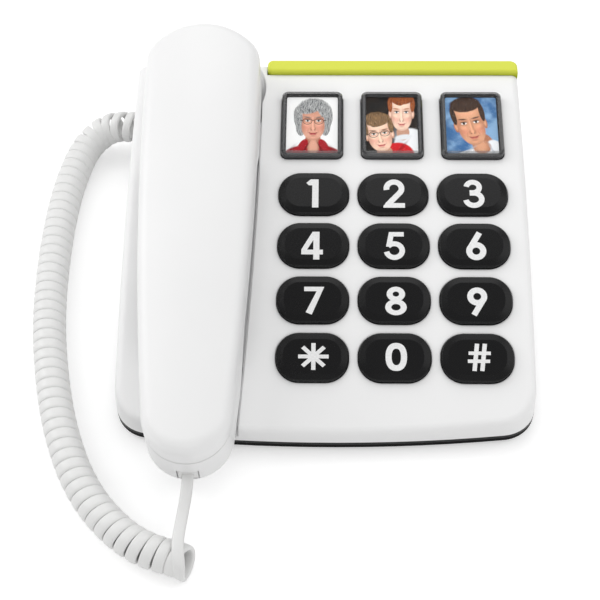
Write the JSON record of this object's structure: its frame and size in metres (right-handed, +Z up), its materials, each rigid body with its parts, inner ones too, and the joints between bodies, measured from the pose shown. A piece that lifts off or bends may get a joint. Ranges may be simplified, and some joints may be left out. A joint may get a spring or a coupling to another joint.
{
  "type": "corded desk telephone",
  "caption": "Corded desk telephone: arched base with large number keys and picture memory keys, a handset lying in a cradle on the left, and a curly cord between them.",
  "frame": {"origin": "on the floor under the middle of the box round base and handset, without the cord", "axes": "+X to the right seen from the front, +Y to the back, +Z up"},
  "size_m": [0.2331, 0.2607, 0.0843],
  "materials": {
    "white_shell": "satin white moulding",
    "black_cover": "fine matt moulding",
    "black_key": "satin moulding, white printed figures",
    "lime_trim": "satin lime green moulding",
    "smoked_frame": "dark smoky moulding",
    "printed_card": "printed picture card",
    "clear_lens": "clear polished cap",
    "black_rubber": "matt rubber",
    "grey_rubber": "matt silicone rubber",
    "board": "solder-masked board",
    "steel": "plain zinc-plated steel",
    "driver_metal": "plain pressed can",
    "black_part": "plain moulding",
    "white_part": "plain moulding",
    "clear_plug": "clear moulding",
    "white_cord": "soft satin jacket"
  },
  "bodies": {
    "base": {"accent_strip": "lime_trim", "ballast_plate": "steel", "board_screws": "steel", "bottom_cover": "black_cover", "cord_jack_base": "black_part", "cord_plug_base": "clear_plug", "curly_cord": "white_cord", "hook_spring": "steel", "hook_switch": "black_part", "housing_screws": "steel", "keypad_board": "board", "keypad_rubber_sheet": "grey_rubber", "line_jack": "black_part", "ringer": "driver_metal", "ringer_switch": "black_part", "rubber_feet": "black_rubber", "top_housing": "white_shell"},
    "handset": {"handset_back_shell": "white_shell", "handset_front_shell": "white_shell", "handset_screws": "steel", "receiver": "driver_metal", "receiver_gasket": "black_rubber", "microphone": "driver_metal", "microphone_boot": "black_rubber", "handset_weight": "steel", "cord_jack_handset": "black_part", "cord_plug_handset": "clear_plug", "cord_tail": "white_cord"},
    "key_1": {"key_1": "black_key"},
    "key_2": {"key_2": "black_key"},
    "key_3": {"key_3": "black_key"},
    "key_4": {"key_4": "black_key"},
    "key_5": {"key_5": "black_key"},
    "key_6": {"key_6": "black_key"},
    "key_7": {"key_7": "black_key"},
    "key_8": {"key_8": "black_key"},
    "key_9": {"key_9": "black_key"},
    "key_star": {"key_star": "black_key"},
    "key_0": {"key_0": "black_key"},
    "key_hash": {"key_hash": "black_key"},
    "picture_key_1": {"picture_key_1": "smoked_frame", "picture_card_1": "printed_card", "picture_lens_1": "clear_lens"},
    "picture_key_2": {"picture_key_2": "smoked_frame", "picture_card_2": "printed_card", "picture_lens_2": "clear_lens"},
    "picture_key_3": {"picture_key_3": "smoked_frame", "picture_card_3": "printed_card", "picture_lens_3": "clear_lens"},
    "hook_plunger": {"hook_plunger": "white_part"},
    "ringer_slider": {"ringer_slider": "white_shell"}
  },
  "joints": [
    {"name": "handset_lift", "type": "slide", "parent": "base", "child": "handset", "axis": [0, -0.1908, 0.9816], "range_m": [0, 0.12]},
    {"name": "hook_plunger_rise", "type": "slide", "parent": "base", "child": "hook_plunger", "axis": [0, -0.1908, 0.9816], "range_m": [0, 0.005], "deforming": ["hook_spring"]},
    {"name": "key_1_press", "type": "slide", "parent": "base", "child": "key_1", "axis": [0, 0.1566, -0.9877], "range_m": [0, 0.0018], "stiffness_N_per_m": 300, "springref_m": -0.001, "deforming": ["keypad_rubber_sheet"]},
    {"name": "key_2_press", "type": "slide", "parent": "base", "child": "key_2", "axis": [0, 0.1566, -0.9877], "range_m": [0, 0.0018], "stiffness_N_per_m": 300, "springref_m": -0.001, "deforming": ["keypad_rubber_sheet"]},
    {"name": "key_3_press", "type": "slide", "parent": "base", "child": "key_3", "axis": [0, 0.1566, -0.9877], "range_m": [0, 0.0018], "stiffness_N_per_m": 300, "springref_m": -0.001, "deforming": ["keypad_rubber_sheet"]},
    {"name": "key_4_press", "type": "slide", "parent": "base", "child": "key_4", "axis": [0, 0.2205, -0.9754], "range_m": [0, 0.0018], "stiffness_N_per_m": 300, "springref_m": -0.001, "deforming": ["keypad_rubber_sheet"]},
    {"name": "key_5_press", "type": "slide", "parent": "base", "child": "key_5", "axis": [0, 0.2205, -0.9754], "range_m": [0, 0.0018], "stiffness_N_per_m": 300, "springref_m": -0.001, "deforming": ["keypad_rubber_sheet"]},
    {"name": "key_6_press", "type": "slide", "parent": "base", "child": "key_6", "axis": [0, 0.2205, -0.9754], "range_m": [0, 0.0018], "stiffness_N_per_m": 300, "springref_m": -0.001, "deforming": ["keypad_rubber_sheet"]},
    {"name": "key_7_press", "type": "slide", "parent": "base", "child": "key_7", "axis": [0, 0.2834, -0.959], "range_m": [0, 0.0018], "stiffness_N_per_m": 300, "springref_m": -0.001, "deforming": ["keypad_rubber_sheet"]},
    {"name": "key_8_press", "type": "slide", "parent": "base", "child": "key_8", "axis": [0, 0.2834, -0.959], "range_m": [0, 0.0018], "stiffness_N_per_m": 300, "springref_m": -0.001, "deforming": ["keypad_rubber_sheet"]},
    {"name": "key_9_press", "type": "slide", "parent": "base", "child": "key_9", "axis": [0, 0.2834, -0.959], "range_m": [0, 0.0018], "stiffness_N_per_m": 300, "springref_m": -0.001, "deforming": ["keypad_rubber_sheet"]},
    {"name": "key_star_press", "type": "slide", "parent": "base", "child": "key_star", "axis": [0, 0.3452, -0.9385], "range_m": [0, 0.0018], "stiffness_N_per_m": 300, "springref_m": -0.001, "deforming": ["keypad_rubber_sheet"]},
    {"name": "key_0_press", "type": "slide", "parent": "base", "child": "key_0", "axis": [0, 0.3452, -0.9385], "range_m": [0, 0.0018], "stiffness_N_per_m": 300, "springref_m": -0.001, "deforming": ["keypad_rubber_sheet"]},
    {"name": "key_hash_press", "type": "slide", "parent": "base", "child": "key_hash", "axis": [0, 0.3452, -0.9385], "range_m": [0, 0.0018], "stiffness_N_per_m": 300, "springref_m": -0.001, "deforming": ["keypad_rubber_sheet"]},
    {"name": "picture_key_1_press", "type": "slide", "parent": "base", "child": "picture_key_1", "axis": [0, 0.0614, -0.9981], "range_m": [0, 0.0015], "stiffness_N_per_m": 400, "springref_m": -0.001, "deforming": ["keypad_rubber_sheet"]},
    {"name": "picture_key_2_press", "type": "slide", "parent": "base", "child": "picture_key_2", "axis": [0, 0.0614, -0.9981], "range_m": [0, 0.0015], "stiffness_N_per_m": 400, "springref_m": -0.001, "deforming": ["keypad_rubber_sheet"]},
    {"name": "picture_key_3_press", "type": "slide", "parent": "base", "child": "picture_key_3", "axis": [0, 0.0614, -0.9981], "range_m": [0, 0.0015], "stiffness_N_per_m": 400, "springref_m": -0.001, "deforming": ["keypad_rubber_sheet"]},
    {"name": "ringer_slider_shift", "type": "slide", "parent": "base", "child": "ringer_slider", "axis": [0, 1, 0], "range_m": [-0.003, 0.003]}
  ],
  "couplings": [
    {"joint": "hook_plunger_rise", "follows": "handset_lift", "ratio": 0.0416}
  ]
}
